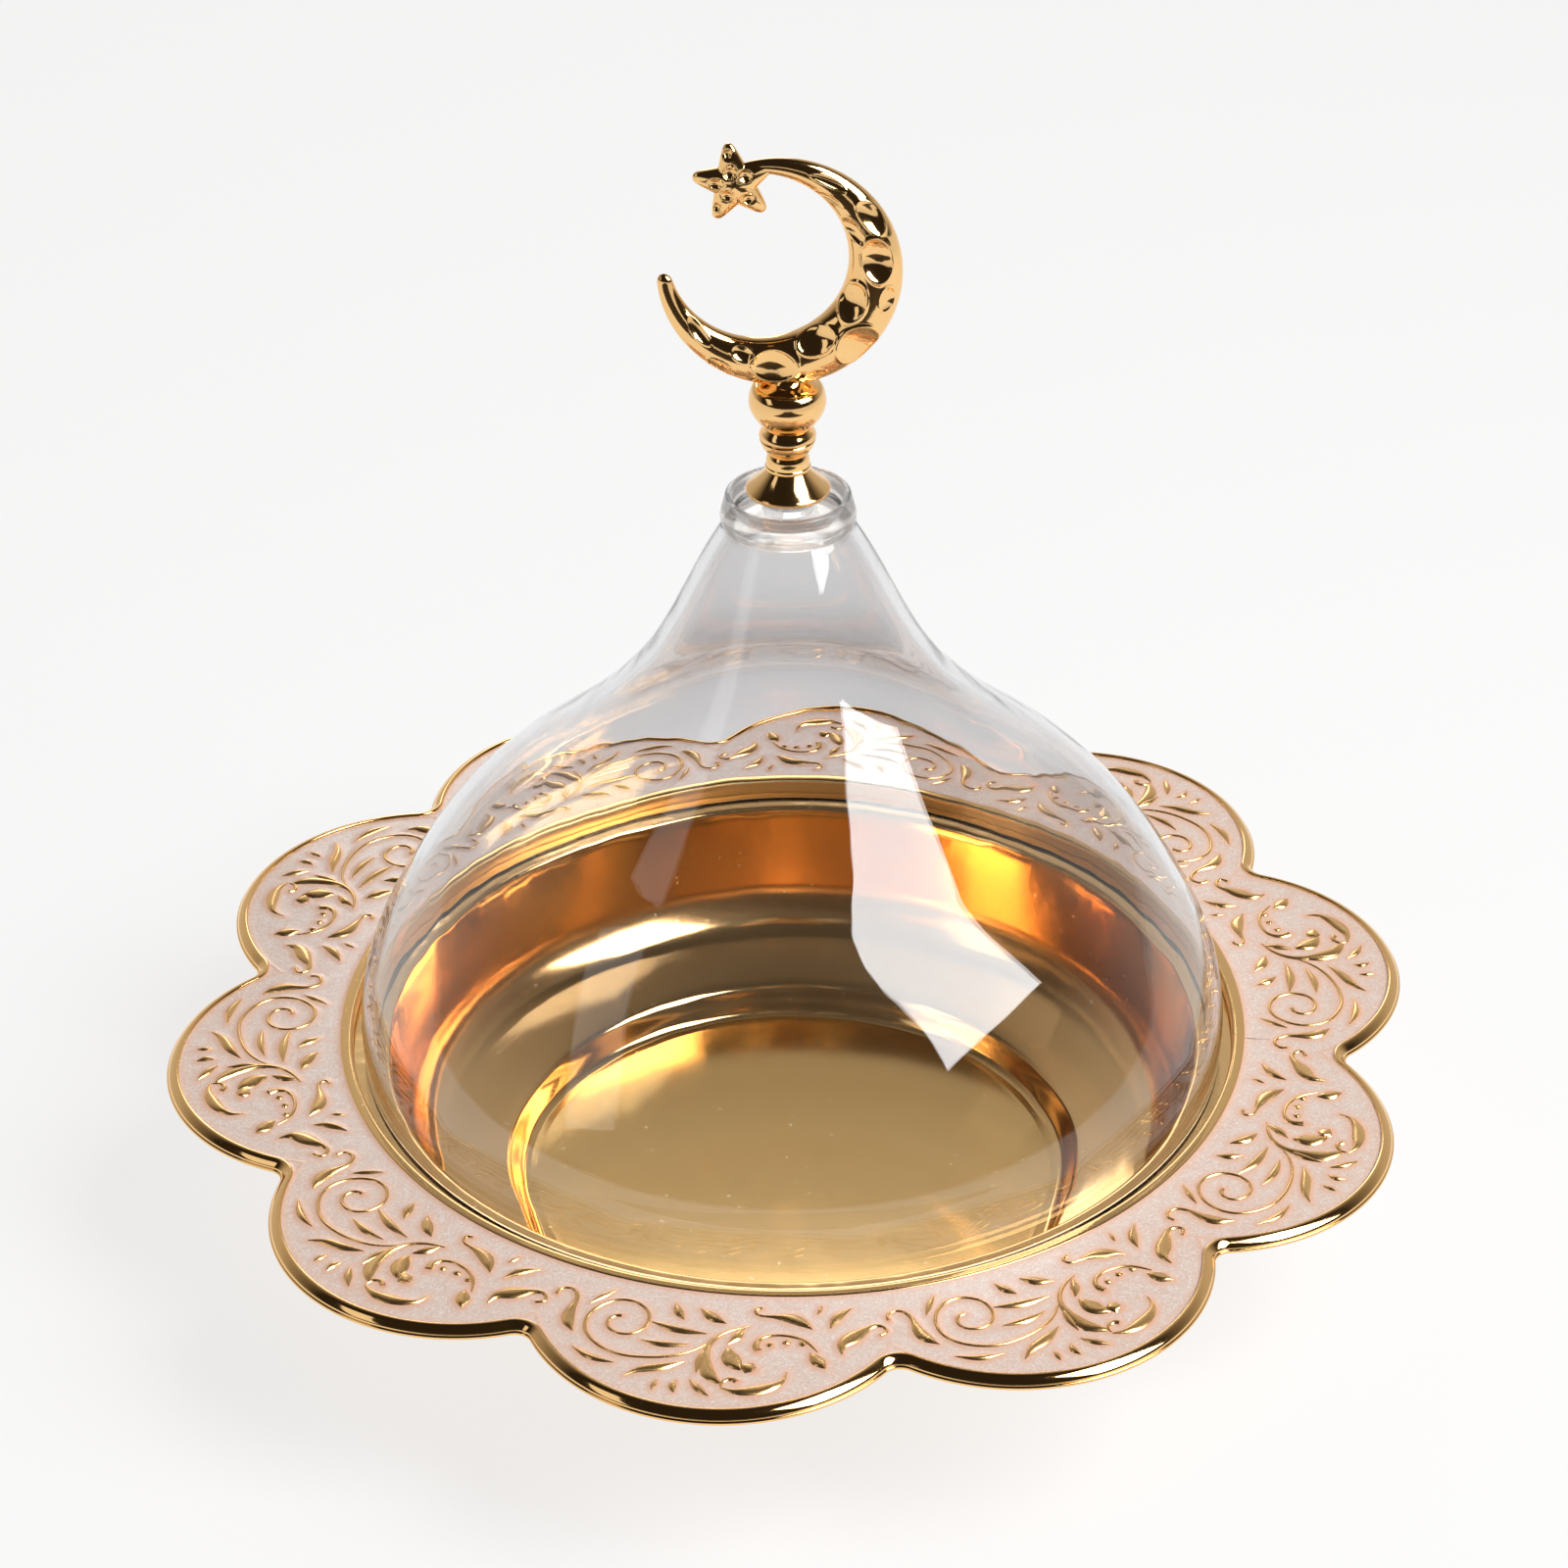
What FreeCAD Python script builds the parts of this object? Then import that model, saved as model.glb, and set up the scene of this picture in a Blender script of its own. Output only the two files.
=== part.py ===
import FreeCAD, Part
import math
import os

# Covered serving bowl: a pressed bowl in a scalloped enamelled rim, under a clear dome
# with a turned finial that carries a hammered crescent and star.
# Origin on the table under the bowl's centre, +Z up, lengths in millimetres.

# Scalloped rim
PETALS = 10
PETAL_TURN_DEG = 9.5
TIP_RADIUS = 155.0
RIM_WIDTH = 46.0
PETAL_ARC_RADIUS = 46.9
NOTCH_FILLET = 4.0
RIM_RISE = 4.3
PLATE_THICKNESS = 1.5
EDGE_WIDTH = 3.2
EDGE_FILLET = 1.3
LIP_REACH = 0.35
LIP_THICKNESS = 0.9
BORDER_WIDTH = 3.3
BORDER_DROP = 0.3
BORDER_FILLET = 1.2
LEDGE_WIDTH = 5.0
LEDGE_THICKNESS = 2.0

# Enamel in the rim's recessed field
ENAMEL_DROP = 0.7
ENAMEL_THICKNESS = 0.6
ENAMEL_CLEARANCE = 0.05

# Pressed bowl
SHEET = 1.2
SEAT_HEIGHT = 46.7
FLANGE_CLEARANCE = 0.2
FLANGE_WIDTH = 8.4
WALL_DRAFT = 4.1
WALL_FOOT_HEIGHT = 15.3
SHOULDER_WIDTH = 24.0
SHOULDER_HEIGHT = 7.9
STEP_WIDTH = 3.3
LIP_FILLET = 3.0
WALL_FILLET = 14.0
SHOULDER_FILLET = 2.5
FLOOR_FILLET = 2.4

# Clear dome: its outline runs from the skirt (share 1 of the spread, share 0 of the height)
# to the neck (share 0 of the spread, share 1 of the height)
DOME_MARGIN = 2.4
DOME_HEIGHT = 142.4
DOME_WALL = 2.4
NECK_RADIUS = 15.0
DOME_OUTLINE_SHARES = [
    (0.998, 0.00),
    (1.000, 0.07),
    (0.970, 0.16),
    (0.884, 0.27),
    (0.742, 0.40),
    (0.517, 0.53),
    (0.339, 0.64),
    (0.215, 0.74),
    (0.122, 0.85),
    (0.045, 0.95),
    (0.000, 1.00),
]
COLLAR_RADIUS = 15.9
COLLAR_TOP_RADIUS = 14.6
COLLAR_HEIGHT = 7.4
COLLAR_WALL = 1.6
COLLAR_FILLET = 0.6
CUP_DEPTH = 3.9
CUP_FLOOR = 2.5
BOSS_RADIUS = 5.7
BOSS_HEIGHT = 4.7
STUB_RADIUS = 3.0
STUB_LENGTH = 3.2
STUB_CLEARANCE = 0.06
STUB_END_GAP = 0.3

# Turned finial stack
BELL_RADIUS = 9.75
BELL_HEIGHT = 5.7
BELL_EDGE = 1.0
BELL_TOP_RADIUS = 4.9
BELL_HOLLOW = 0.5
SPOOL_HEIGHT = 4.2
SPOOL_FOOT_RADIUS = 5.3
SPOOL_BELLY_RADIUS = 5.1
SPOOL_TOP_RADIUS = 4.5
SPOOL_BELLY_SHARE = 0.45
RING_HEIGHT = 6.8
RING_FOOT_RADIUS = 4.4
RING_RADIUS = 6.65
RING_TOP_RADIUS = 5.6
RING_BELLY_SHARE = 0.64
URN_HEIGHT = 10.3
URN_FOOT_RADIUS = 5.5
URN_BELLY_RADIUS = 8.95
URN_SHOULDER_RADIUS = 8.0
URN_LIP_RADIUS = 8.25
URN_LIP_HEIGHT = 0.7
URN_BELLY_SHARES = [(0.22, 0.07), (0.545, 0.23), (0.80, 0.385), (1.0, 0.64), (0.925, 0.85)]
ROD_RADIUS = 2.0
ROD_CLEARANCE = 0.05
ROD_DEPTH = 7.0

# Crescent: the space between an outer circle and a smaller circle set off towards the horns
CRESCENT_RADIUS = 27.6
CRESCENT_RISE = 27.9
CRESCENT_SHIFT = 1.5
CRESCENT_GAP_RADIUS = 20.1
CRESCENT_GAP_SHIFT = 6.1
CRESCENT_GAP_DEG = 140.0
CRESCENT_FIRST_DEG = 111.0
CRESCENT_LAST_DEG = -175.0
CRESCENT_STATIONS = 19
CRESCENT_DEPTH_SHARE = 0.74
CRESCENT_FOOT_RADIUS = 4.4
CRESCENT_FOOT_HEIGHT = 4.0
# Each dimple: turn round the crescent in degrees, place across its width from the inner edge
# (-1) to the outer edge (1), and diameter as a share of the crescent's widest place
DIMPLE_SHARES = [
    (64.6, 0.35, 0.28),
    (59.6, -0.52, 0.22),
    (35.6, 0.49, 0.42),
    (34.4, -0.48, 0.32),
    (11.9, 0.09, 0.58),
    (-11.7, 0.53, 0.33),
    (-19.0, -0.55, 0.48),
    (-42.7, 0.42, 0.60),
    (-61.6, -0.58, 0.46),
    (-71.4, 0.65, 0.26),
    (-93.7, -0.05, 0.58),
    (-114.3, -0.42, 0.32),
    (-121.4, 0.67, 0.30),
    (-144.3, -0.30, 0.26),
]
DIMPLE_DEPTH_SHARE = 0.12

# Star at the crescent's upper horn
STAR_RADIUS = 9.4
STAR_POINT_SHARE = 1.32
STAR_INNER_SHARE = 0.54
STAR_SHIFT = 11.3
STAR_RISE = 21.8
STAR_TURN_DEG = 98.5
STAR_POINTS = 5
STAR_THICKNESS = 5.2
STAR_EDGE = 1.6

OVERRUN = 1.0

# Radii and levels that follow from the sizes above
FLANGE_RADIUS = TIP_RADIUS - RIM_WIDTH
MOUTH_RADIUS = FLANGE_RADIUS - FLANGE_WIDTH
WALL_FOOT_RADIUS = MOUTH_RADIUS - WALL_DRAFT
SHOULDER_RADIUS = WALL_FOOT_RADIUS - SHOULDER_WIDTH
FLOOR_RADIUS = SHOULDER_RADIUS - STEP_WIDTH
DOME_RADIUS = FLANGE_RADIUS - DOME_MARGIN
RIM_TOP = SEAT_HEIGHT + RIM_RISE
ENAMEL_TOP = RIM_TOP - ENAMEL_DROP
FIELD_FLOOR = ENAMEL_TOP - ENAMEL_THICKNESS
PLATE_BOTTOM = FIELD_FLOOR - PLATE_THICKNESS
REBATE_RADIUS = FLANGE_RADIUS + FLANGE_CLEARANCE
BORDER_RADIUS = REBATE_RADIUS + BORDER_WIDTH
COLLAR_FOOT = SEAT_HEIGHT + DOME_HEIGHT
COLLAR_TOP = COLLAR_FOOT + COLLAR_HEIGHT
CUP_LEVEL = COLLAR_TOP - CUP_DEPTH
BELL_FOOT = CUP_LEVEL + BOSS_HEIGHT
SPOOL_FOOT = BELL_FOOT + BELL_HEIGHT
RING_FOOT = SPOOL_FOOT + SPOOL_HEIGHT
URN_FOOT = RING_FOOT + RING_HEIGHT
URN_TOP = URN_FOOT + URN_HEIGHT
CRESCENT_LEVEL = URN_TOP + CRESCENT_RISE
STUB_TOP = BELL_FOOT + STUB_LENGTH
ROD_FOOT = STUB_TOP + STUB_END_GAP
ROD_BORE = ROD_RADIUS + ROD_CLEARANCE

ORIGIN = FreeCAD.Vector(0, 0, 0)
UP = FreeCAD.Vector(0, 0, 1)


def at(radius, height):
    """Point of a turned profile."""
    return FreeCAD.Vector(radius, 0, height)


def around(radius, degrees, height):
    """Point at a radius and turn about the bowl's axis."""
    turn = math.radians(degrees)
    return FreeCAD.Vector(radius * math.cos(turn), radius * math.sin(turn), height)


def unit(vector):
    return FreeCAD.Vector(vector).normalize()


def line(start, end):
    return Part.LineSegment(start, end).toShape()


def arc(start, middle, end):
    return Part.Arc(start, middle, end).toShape()


def turned(edges):
    """Solid of revolution of a closed profile about the bowl's axis."""
    face = Part.Face(Part.Wire(Part.sortEdges(edges)[0]))
    return face.revolve(ORIGIN, UP, 360)


def bore(radius, bottom, top):
    """Cutter for a hole on the bowl's axis, open past both ends."""
    return Part.makeCylinder(radius, top - bottom + 2 * OVERRUN, at(0, bottom - OVERRUN))


def rounded_path(corners):
    """Edges of an open path through (radius, height, fillet) corners."""
    points = [at(radius, height) for radius, height, fillet in corners]
    here = points[0]
    edges = []
    for before, corner, after, (_, _, fillet) in zip(points, points[1:], points[2:], corners[1:]):
        back = unit(before - corner)
        ahead = unit(after - corner)
        half = back.getAngle(ahead) / 2
        reach = fillet / math.tan(half)
        middle = corner + unit(back + ahead) * (fillet / math.sin(half) - fillet)
        edges.append(line(here, corner + back * reach))
        edges.append(arc(corner + back * reach, middle, corner + ahead * reach))
        here = corner + ahead * reach
    edges.append(line(here, points[-1]))
    return edges


def parallel_corners(corners, gap):
    """The same path one gap to its left, with fillets that stay concentric."""
    points = [at(radius, height) for radius, height, fillet in corners]
    headings = [unit(end - start) for start, end in zip(points, points[1:])]
    lefts = [FreeCAD.Vector(-heading.z, 0, heading.x) for heading in headings]
    first = points[0] + lefts[0] * gap
    moved = [(first.x, first.z, 0)]
    for corner, left, next_left, heading, (_, _, fillet) in zip(
        points[1:], lefts, lefts[1:], headings, corners[1:]
    ):
        mitre = unit(left + next_left)
        place = corner + mitre * (gap / mitre.dot(left))
        turns_left = heading.dot(next_left) < 0
        moved.append((place.x, place.z, fillet - gap if turns_left else fillet + gap))
    last = points[-1] + lefts[-1] * gap
    moved.append((last.x, last.z, 0))
    return moved


def scalloped_face(inset, level):
    """Flat petal shape whose edge lies parallel to the rim's edge, inset from it."""
    half_pitch = 180 / PETALS
    petal_place = TIP_RADIUS - PETAL_ARC_RADIUS
    reach = PETAL_ARC_RADIUS + NOTCH_FILLET
    across = petal_place * math.sin(math.radians(half_pitch))
    notch_place = petal_place * math.cos(math.radians(half_pitch)) + math.sqrt(reach**2 - across**2)
    petal_radius = PETAL_ARC_RADIUS - inset
    notch_radius = NOTCH_FILLET + inset
    edges = []
    for petal in range(PETALS):
        turn = PETAL_TURN_DEG + 2 * half_pitch * petal
        centre = around(petal_place, turn, level)
        next_centre = around(petal_place, turn + 2 * half_pitch, level)
        notch_before = around(notch_place, turn - half_pitch, level)
        notch_after = around(notch_place, turn + half_pitch, level)
        start = centre + unit(notch_before - centre) * petal_radius
        end = centre + unit(notch_after - centre) * petal_radius
        next_start = next_centre + unit(notch_after - next_centre) * petal_radius
        edges.append(arc(start, around(petal_place + petal_radius, turn, level), end))
        notch_floor = around(notch_place - notch_radius, turn + half_pitch, level)
        edges.append(arc(end, notch_floor, next_start))
    return Part.Face(Part.Wire(edges))


def scalloped_slab(inset, bottom, top):
    return scalloped_face(inset, bottom).extrude(UP * (top - bottom))


def rim_plate():
    """Cast ring: ledge and border turned, field and lip cut to the petals, bead round the edge."""
    ledge_top = SEAT_HEIGHT - SHEET
    ledge_bottom = ledge_top - LEDGE_THICKNESS
    ledge_inner = REBATE_RADIUS - LEDGE_WIDTH
    border_top = RIM_TOP - BORDER_DROP
    hub = rounded_path(
        [
            (ledge_inner, ledge_top, 0),
            (REBATE_RADIUS, ledge_top, FLANGE_CLEARANCE / 2),
            (REBATE_RADIUS, border_top, BORDER_FILLET),
            (BORDER_RADIUS, border_top, BORDER_FILLET),
            (BORDER_RADIUS, ledge_bottom, 0),
        ]
    )
    hub.append(line(at(BORDER_RADIUS, ledge_bottom), at(ledge_inner, ledge_bottom)))
    hub.append(line(at(ledge_inner, ledge_bottom), at(ledge_inner, ledge_top)))
    lip_top = PLATE_BOTTOM + LIP_THICKNESS
    middle_of_border = REBATE_RADIUS + BORDER_WIDTH / 2
    field = scalloped_slab(EDGE_WIDTH / 2, PLATE_BOTTOM, FIELD_FLOOR)
    field = field.fuse(scalloped_slab(0, PLATE_BOTTOM, lip_top))
    field = field.cut(bore(middle_of_border, PLATE_BOTTOM, FIELD_FLOOR))
    bead = scalloped_slab(LIP_REACH, lip_top, RIM_TOP)
    bead = bead.cut(scalloped_slab(EDGE_WIDTH, lip_top - OVERRUN, RIM_TOP + OVERRUN))
    crown = [edge for edge in bead.Edges if abs(edge.BoundBox.ZMin - RIM_TOP) < OVERRUN / 100]
    bead = bead.makeFillet(EDGE_FILLET, crown)
    return field.fuse([bead, turned(hub)]).removeSplitter()


def rim_enamel():
    """Enamel poured level into the field between the edge bead and the border."""
    fill = scalloped_slab(EDGE_WIDTH + ENAMEL_CLEARANCE, FIELD_FLOOR, ENAMEL_TOP)
    return fill.cut(bore(BORDER_RADIUS + ENAMEL_CLEARANCE, FIELD_FLOOR, ENAMEL_TOP))


def bowl_pan():
    """Bowl pressed from one sheet, open at the top, standing on its stepped floor."""
    inside = [
        (FLANGE_RADIUS, SEAT_HEIGHT, 0),
        (MOUTH_RADIUS, SEAT_HEIGHT, LIP_FILLET),
        (WALL_FOOT_RADIUS, WALL_FOOT_HEIGHT, WALL_FILLET),
        (SHOULDER_RADIUS, SHOULDER_HEIGHT, SHOULDER_FILLET),
        (FLOOR_RADIUS, SHEET, FLOOR_FILLET),
        (0, SHEET, 0),
    ]
    outside = parallel_corners(inside, SHEET)
    edges = rounded_path(inside) + rounded_path(outside)
    edges.append(line(at(FLANGE_RADIUS, SEAT_HEIGHT), at(FLANGE_RADIUS, SEAT_HEIGHT - SHEET)))
    edges.append(line(at(0, SHEET), ORIGIN))
    return turned(edges)


def dome_outline():
    spread = DOME_RADIUS - NECK_RADIUS
    places = [
        at(NECK_RADIUS + spread * across, SEAT_HEIGHT + DOME_HEIGHT * along)
        for across, along in DOME_OUTLINE_SHARES
    ]
    curve = Part.BSplineCurve()
    curve.interpolate(places)
    return curve


def dome_lining(curve):
    """The outline moved inwards by the wall, from the seat to the cup's underside."""
    places = []
    for place in [curve.value(knot) for knot in curve.getKnots()]:
        tangent = unit(curve.tangent(curve.parameter(place))[0])
        places.append(place + FreeCAD.Vector(-tangent.z, 0, tangent.x) * DOME_WALL)
    places[0] = at(places[0].x, SEAT_HEIGHT)
    lining = Part.BSplineCurve()
    lining.interpolate(places)
    return lining


def dome():
    """Moulded cover: blown wall, collar cup on the neck, boss and stub that take the finial."""
    outline = dome_outline()
    lining = dome_lining(outline)
    neck = at(NECK_RADIUS, COLLAR_FOOT)
    lining_top = lining.EndPoint
    wall = turned(
        [
            outline.toShape(),
            lining.toShape(),
            line(outline.StartPoint, lining.StartPoint),
            line(neck, at(lining_top.x, COLLAR_FOOT)),
            line(at(lining_top.x, COLLAR_FOOT), lining_top),
        ]
    )
    cup_underside = CUP_LEVEL - CUP_FLOOR
    plug_foot = min(cup_underside, lining_top.z)
    recess_radius = COLLAR_TOP_RADIUS - COLLAR_WALL
    collar = rounded_path(
        [
            (0, CUP_LEVEL, 0),
            (recess_radius, CUP_LEVEL, COLLAR_FILLET),
            (recess_radius, COLLAR_TOP, COLLAR_FILLET),
            (COLLAR_TOP_RADIUS, COLLAR_TOP, COLLAR_FILLET),
            (COLLAR_RADIUS, COLLAR_FOOT, COLLAR_FILLET),
            (lining_top.x, COLLAR_FOOT, 0),
        ]
    )
    collar.append(line(at(lining_top.x, COLLAR_FOOT), at(lining_top.x, plug_foot)))
    collar.append(line(at(lining_top.x, plug_foot), at(0, plug_foot)))
    collar.append(line(at(0, plug_foot), at(0, CUP_LEVEL)))
    boss = Part.makeCylinder(BOSS_RADIUS, BOSS_HEIGHT + CUP_FLOOR, at(0, cup_underside))
    stub = Part.makeCylinder(STUB_RADIUS, STUB_LENGTH + BOSS_HEIGHT, at(0, CUP_LEVEL))
    return wall.fuse([turned(collar), boss, stub]).removeSplitter()


def finial_bell():
    """Flared foot: seats on the boss, takes the stub from below and the rod from above."""
    foot = at(BELL_RADIUS, BELL_FOOT)
    edge = at(BELL_RADIUS, BELL_FOOT + BELL_EDGE)
    top = at(BELL_TOP_RADIUS, SPOOL_FOOT)
    slope = unit(top - edge)
    middle = (edge + top) * 0.5 - FreeCAD.Vector(slope.z, 0, -slope.x) * BELL_HOLLOW
    body = turned(
        [
            line(at(0, BELL_FOOT), foot),
            line(foot, edge),
            arc(edge, middle, top),
            line(top, at(0, SPOOL_FOOT)),
            line(at(0, SPOOL_FOOT), at(0, BELL_FOOT)),
        ]
    )
    socket = Part.makeCylinder(
        STUB_RADIUS + STUB_CLEARANCE, ROD_FOOT - BELL_FOOT + OVERRUN, at(0, BELL_FOOT - OVERRUN)
    )
    return body.cut(socket).cut(bore(ROD_BORE, BELL_FOOT, SPOOL_FOOT))


def finial_bead(foot, height, foot_radius, belly_radius, top_radius, belly_share):
    """Turned bead with a round belly and a bore for the rod."""
    low = at(foot_radius, foot)
    high = at(top_radius, foot + height)
    body = turned(
        [
            arc(low, at(belly_radius, foot + height * belly_share), high),
            line(high, at(0, foot + height)),
            line(at(0, foot + height), at(0, foot)),
            line(at(0, foot), low),
        ]
    )
    return body.cut(bore(ROD_BORE, foot, foot + height))


def finial_urn():
    """Turned urn: narrow foot, swelling belly, drawn-in shoulder and a flat lip."""
    lip_foot = URN_TOP - URN_LIP_HEIGHT
    swell = URN_BELLY_RADIUS - URN_FOOT_RADIUS
    places = [at(URN_FOOT_RADIUS, URN_FOOT)]
    places += [
        at(URN_FOOT_RADIUS + swell * across, URN_FOOT + (lip_foot - URN_FOOT) * along)
        for across, along in URN_BELLY_SHARES
    ]
    shoulder = at(URN_SHOULDER_RADIUS, lip_foot)
    places.append(shoulder)
    belly = Part.BSplineCurve()
    belly.interpolate(places)
    lip = at(URN_LIP_RADIUS, lip_foot)
    rim = at(URN_LIP_RADIUS, URN_TOP)
    body = turned(
        [
            belly.toShape(),
            line(shoulder, lip),
            line(lip, rim),
            line(rim, at(0, URN_TOP)),
            line(at(0, URN_TOP), at(0, URN_FOOT)),
            line(at(0, URN_FOOT), places[0]),
        ]
    )
    return body.cut(bore(ROD_BORE, URN_FOOT, URN_TOP))


def finial_rod():
    return Part.makeCylinder(ROD_RADIUS, URN_TOP + ROD_DEPTH - ROD_FOOT, at(0, ROD_FOOT))


def crescent_reach(degrees):
    """Distance from the crescent's centre to its inner edge at a turn."""
    along = CRESCENT_GAP_SHIFT * math.cos(math.radians(degrees - CRESCENT_GAP_DEG))
    return along + math.sqrt(CRESCENT_GAP_RADIUS**2 - CRESCENT_GAP_SHIFT**2 + along**2)


def crescent_place(degrees, radius, depth):
    """Point of the crescent, which stands upright and faces the front, -Y."""
    turn = math.radians(degrees)
    across = radius * math.cos(turn) - CRESCENT_SHIFT
    return FreeCAD.Vector(across, depth, CRESCENT_LEVEL + radius * math.sin(turn))


def crescent_section(degrees):
    """Oval section across the crescent: its middle radius, half width and half depth."""
    inner = crescent_reach(degrees)
    half_width = (CRESCENT_RADIUS - inner) / 2
    return inner + half_width, half_width, half_width * CRESCENT_DEPTH_SHARE


def crescent_body():
    sections = []
    sweep = CRESCENT_LAST_DEG - CRESCENT_FIRST_DEG
    for station in range(CRESCENT_STATIONS):
        degrees = CRESCENT_FIRST_DEG + sweep * station / (CRESCENT_STATIONS - 1)
        middle, half_width, half_depth = crescent_section(degrees)
        oval = Part.Ellipse(
            crescent_place(degrees, middle + half_width, 0),
            crescent_place(degrees, middle, half_depth),
            crescent_place(degrees, middle, 0),
        )
        sections.append(Part.Wire(oval.toShape()))
    return Part.makeLoft(sections, True, False)


def dimple(degrees, across, size, side):
    """Ball that scoops a round dimple out of the crescent's front or back."""
    middle, half_width, half_depth = crescent_section(degrees)
    radius = middle + across * half_width
    depth = side * half_depth * math.sqrt(1 - across**2)
    surface = crescent_place(degrees, radius, depth)
    outward = crescent_place(degrees, across / half_width, 0) - crescent_place(degrees, 0, 0)
    outward.y = depth / half_depth**2
    sag = size * DIMPLE_DEPTH_SHARE
    ball = (size**2 / 4 + sag**2) / (2 * sag)
    return Part.makeSphere(ball, surface + unit(outward) * (ball - sag))


def star():
    """Five-pointed star with blunt points, raised to a low point at its middle on both faces."""
    centre = FreeCAD.Vector(-STAR_SHIFT, 0, CRESCENT_LEVEL + STAR_RISE)
    step = 180 / STAR_POINTS
    rings = []
    for side in (-1, 1):
        ring = []
        for corner in range(2 * STAR_POINTS):
            turn = math.radians(STAR_TURN_DEG + step * corner)
            radius = STAR_RADIUS * (STAR_INNER_SHARE if corner % 2 else STAR_POINT_SHARE)
            reach = FreeCAD.Vector(radius * math.cos(turn), side * STAR_EDGE / 2, radius * math.sin(turn))
            ring.append(centre + reach)
        rings.append(ring)
    faces = []
    for side, ring in zip((-1, 1), rings):
        peak = centre + FreeCAD.Vector(0, side * STAR_THICKNESS / 2, 0)
        for here, after in zip(ring, ring[1:] + ring[:1]):
            faces.append(Part.Face(Part.makePolygon([peak, here, after, peak])))
    front, back = rings
    for corner in range(2 * STAR_POINTS):
        after = (corner + 1) % (2 * STAR_POINTS)
        around_edge = [front[corner], front[after], back[after], back[corner], front[corner]]
        faces.append(Part.Face(Part.makePolygon(around_edge)))
    sharp = Part.Solid(Part.makeShell(faces))
    back_of_cut = centre - FreeCAD.Vector(0, STAR_THICKNESS, 0)
    blunt = Part.makeCylinder(STAR_RADIUS, 2 * STAR_THICKNESS, back_of_cut, FreeCAD.Vector(0, 1, 0))
    return sharp.common(blunt)


def finial_crescent():
    """Crescent and star cast in one, on a short foot bored for the rod."""
    widest = CRESCENT_RADIUS - CRESCENT_GAP_RADIUS + CRESCENT_GAP_SHIFT
    middle, half_width, half_depth = crescent_section(CRESCENT_LAST_DEG)
    tip = Part.makeSphere(half_depth, crescent_place(CRESCENT_LAST_DEG, middle, 0))
    foot = Part.makeCylinder(CRESCENT_FOOT_RADIUS, CRESCENT_FOOT_HEIGHT, at(0, URN_TOP))
    body = crescent_body()
    for degrees, across, size in DIMPLE_SHARES:
        for side in (-1, 1):
            body = body.cut(dimple(degrees, across, size * widest, side))
    casting = body.fuse([tip, foot, star()]).removeSplitter()
    rod_hole = Part.makeCylinder(ROD_BORE, ROD_DEPTH + ROD_CLEARANCE + OVERRUN, at(0, URN_TOP - OVERRUN))
    return casting.cut(rod_hole)


NODES = {
    "rim_plate": rim_plate(),
    "rim_enamel": rim_enamel(),
    "bowl_pan": bowl_pan(),
    "dome": dome(),
    "finial_bell": finial_bell(),
    "finial_spool": finial_bead(
        SPOOL_FOOT, SPOOL_HEIGHT, SPOOL_FOOT_RADIUS, SPOOL_BELLY_RADIUS, SPOOL_TOP_RADIUS, SPOOL_BELLY_SHARE
    ),
    "finial_ring": finial_bead(
        RING_FOOT, RING_HEIGHT, RING_FOOT_RADIUS, RING_RADIUS, RING_TOP_RADIUS, RING_BELLY_SHARE
    ),
    "finial_urn": finial_urn(),
    "finial_crescent": finial_crescent(),
    "finial_rod": finial_rod(),
}

os.makedirs("parts", exist_ok=True)
for name, shape in NODES.items():
    solid = shape.Solids[0]
    box = solid.BoundBox
    print(name, len(shape.Solids), solid.isValid(), round(solid.Volume), len(solid.Faces))
    print("  X", round(box.XMin, 2), round(box.XMax, 2), "Z", round(box.ZMin, 2), round(box.ZMax, 2))
    solid.exportStep("parts/" + name + ".step")
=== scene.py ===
import bmesh
import bpy
import math
import numpy as np
from mathutils import Matrix, Vector, kdtree


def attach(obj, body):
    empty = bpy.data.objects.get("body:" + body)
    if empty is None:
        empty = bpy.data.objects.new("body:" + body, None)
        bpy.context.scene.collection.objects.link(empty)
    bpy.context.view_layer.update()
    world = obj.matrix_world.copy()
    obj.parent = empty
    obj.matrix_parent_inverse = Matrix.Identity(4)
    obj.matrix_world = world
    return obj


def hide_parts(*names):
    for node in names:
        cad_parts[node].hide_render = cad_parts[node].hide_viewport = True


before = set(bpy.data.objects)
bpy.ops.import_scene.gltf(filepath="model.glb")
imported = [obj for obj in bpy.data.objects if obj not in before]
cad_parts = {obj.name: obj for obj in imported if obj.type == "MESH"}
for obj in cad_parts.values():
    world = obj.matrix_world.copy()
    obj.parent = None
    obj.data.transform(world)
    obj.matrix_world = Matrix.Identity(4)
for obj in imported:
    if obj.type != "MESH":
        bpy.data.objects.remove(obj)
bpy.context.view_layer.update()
MM = 0.001

# Bowl: one brass sheet pressed into a deep dish with a flat flange, a steep wall, a sloping
# shoulder and a stepped floor, gold plated and polished. Its flange lies in the rim's rebate.


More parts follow.
